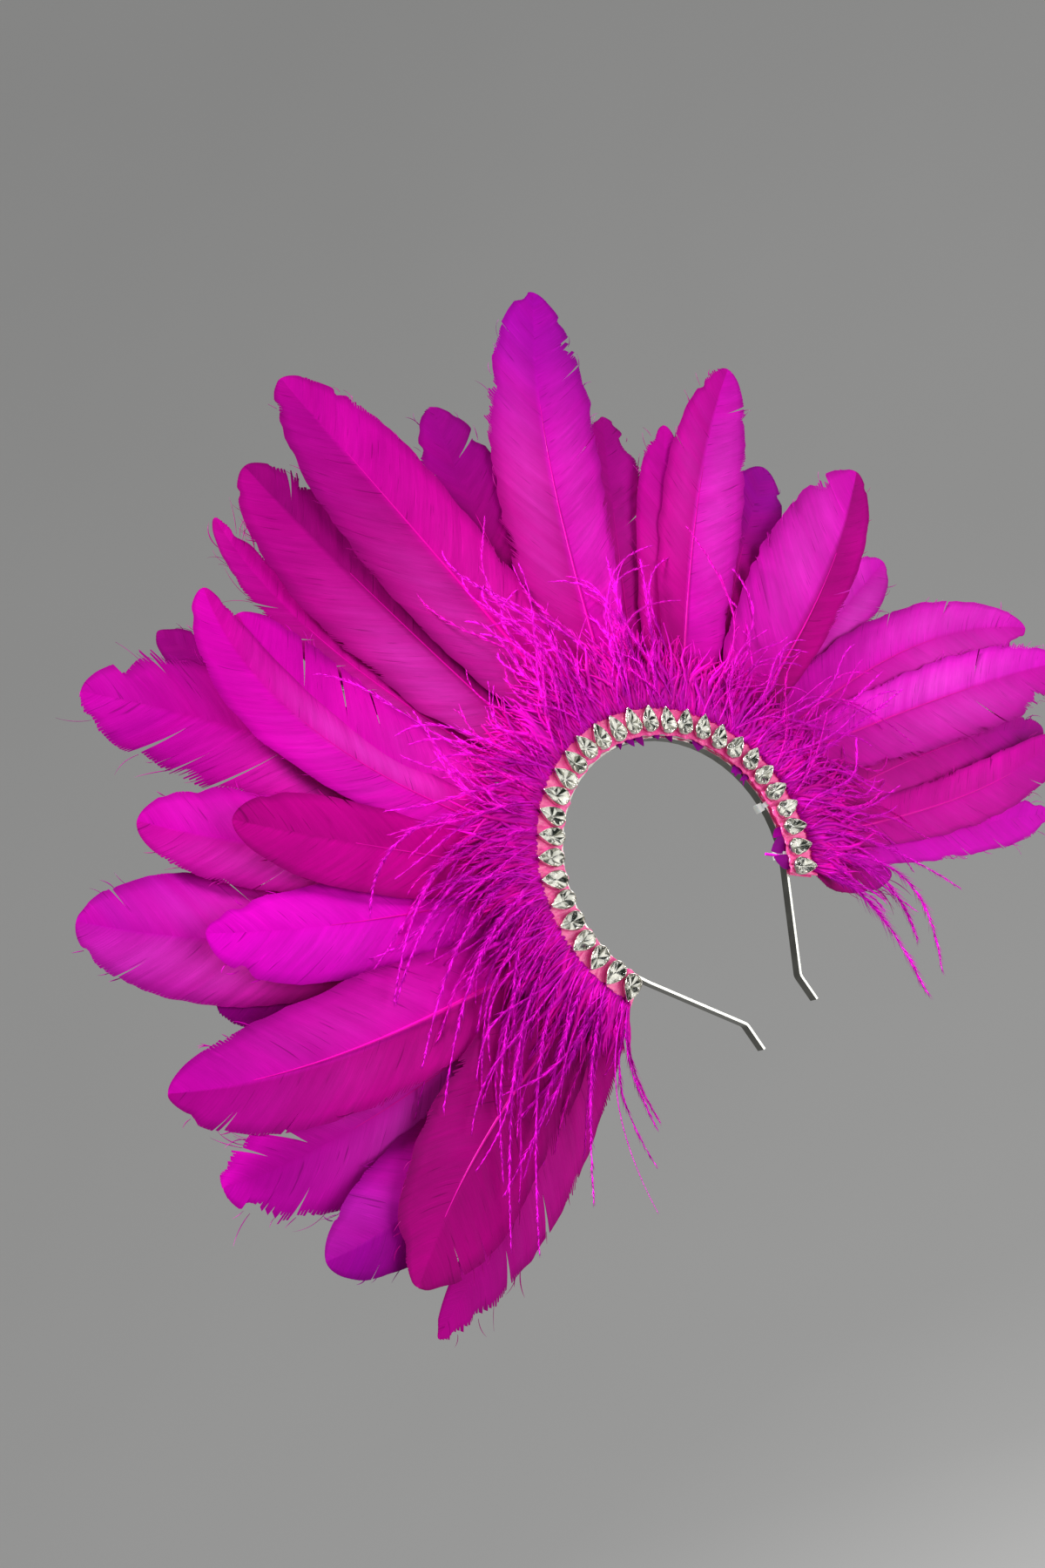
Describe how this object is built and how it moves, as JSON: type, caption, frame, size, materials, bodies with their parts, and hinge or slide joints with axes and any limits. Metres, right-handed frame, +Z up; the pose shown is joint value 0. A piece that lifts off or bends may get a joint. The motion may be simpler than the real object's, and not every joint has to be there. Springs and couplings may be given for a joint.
{
  "type": "feather halo crown headband",
  "caption": "Halo crown of dyed feathers fanned round a ribbon set with pear-cut stones, with an ostrich fringe, on a sprung steel headband.",
  "frame": {"origin": "inner top of the headband, halfway across its width, where it rests on the head", "axes": "+X to the viewer's right, +Y to the back of the head, +Z up as worn"},
  "size_m": [0.5708, 0.0322, 0.4288],
  "materials": {
    "steel": "dark nickel, satin",
    "satin": "pink satin ribbon",
    "crystal": "clear cut stone, foiled, in a silver claw cup",
    "nylon": "white moulded",
    "goose": "dyed goose feather",
    "ostrich": "dyed ostrich feather"
  },
  "bodies": {
    "root": {"headband": "steel", "front_ribbon": "satin", "back_ribbon": "satin", "stone_01": "crystal", "stone_02": "crystal", "stone_03": "crystal", "stone_04": "crystal", "stone_05": "crystal", "stone_06": "crystal", "stone_07": "crystal", "stone_08": "crystal", "stone_09": "crystal", "stone_10": "crystal", "stone_11": "crystal", "stone_12": "crystal", "stone_13": "crystal", "stone_14": "crystal", "stone_15": "crystal", "stone_16": "crystal", "stone_17": "crystal", "stone_18": "crystal", "stone_19": "crystal", "stone_20": "crystal", "stone_21": "crystal", "stone_22": "crystal", "stone_23": "crystal", "stone_24": "crystal", "stone_25": "crystal", "stone_26": "crystal", "stone_27": "crystal", "stone_28": "crystal", "stone_29": "crystal", "stone_30": "crystal", "tie_right_upper": "nylon", "tie_right_lower": "nylon", "feather_01": "goose", "feather_02": "goose", "feather_03": "goose", "feather_04": "goose", "feather_05": "goose", "feather_06": "goose", "feather_07": "goose", "feather_08": "goose", "feather_09": "goose", "feather_10": "goose", "feather_11": "goose", "feather_12": "goose", "feather_13": "goose", "feather_14": "goose", "feather_15": "goose", "feather_16": "goose", "feather_17": "goose", "feather_18": "goose", "rear_feathers_left": "goose", "rear_feathers_top": "goose", "rear_feathers_right": "goose", "fringe_left": "ostrich", "fringe_top": "ostrich", "fringe_right": "ostrich"}
  },
  "joints": []
}
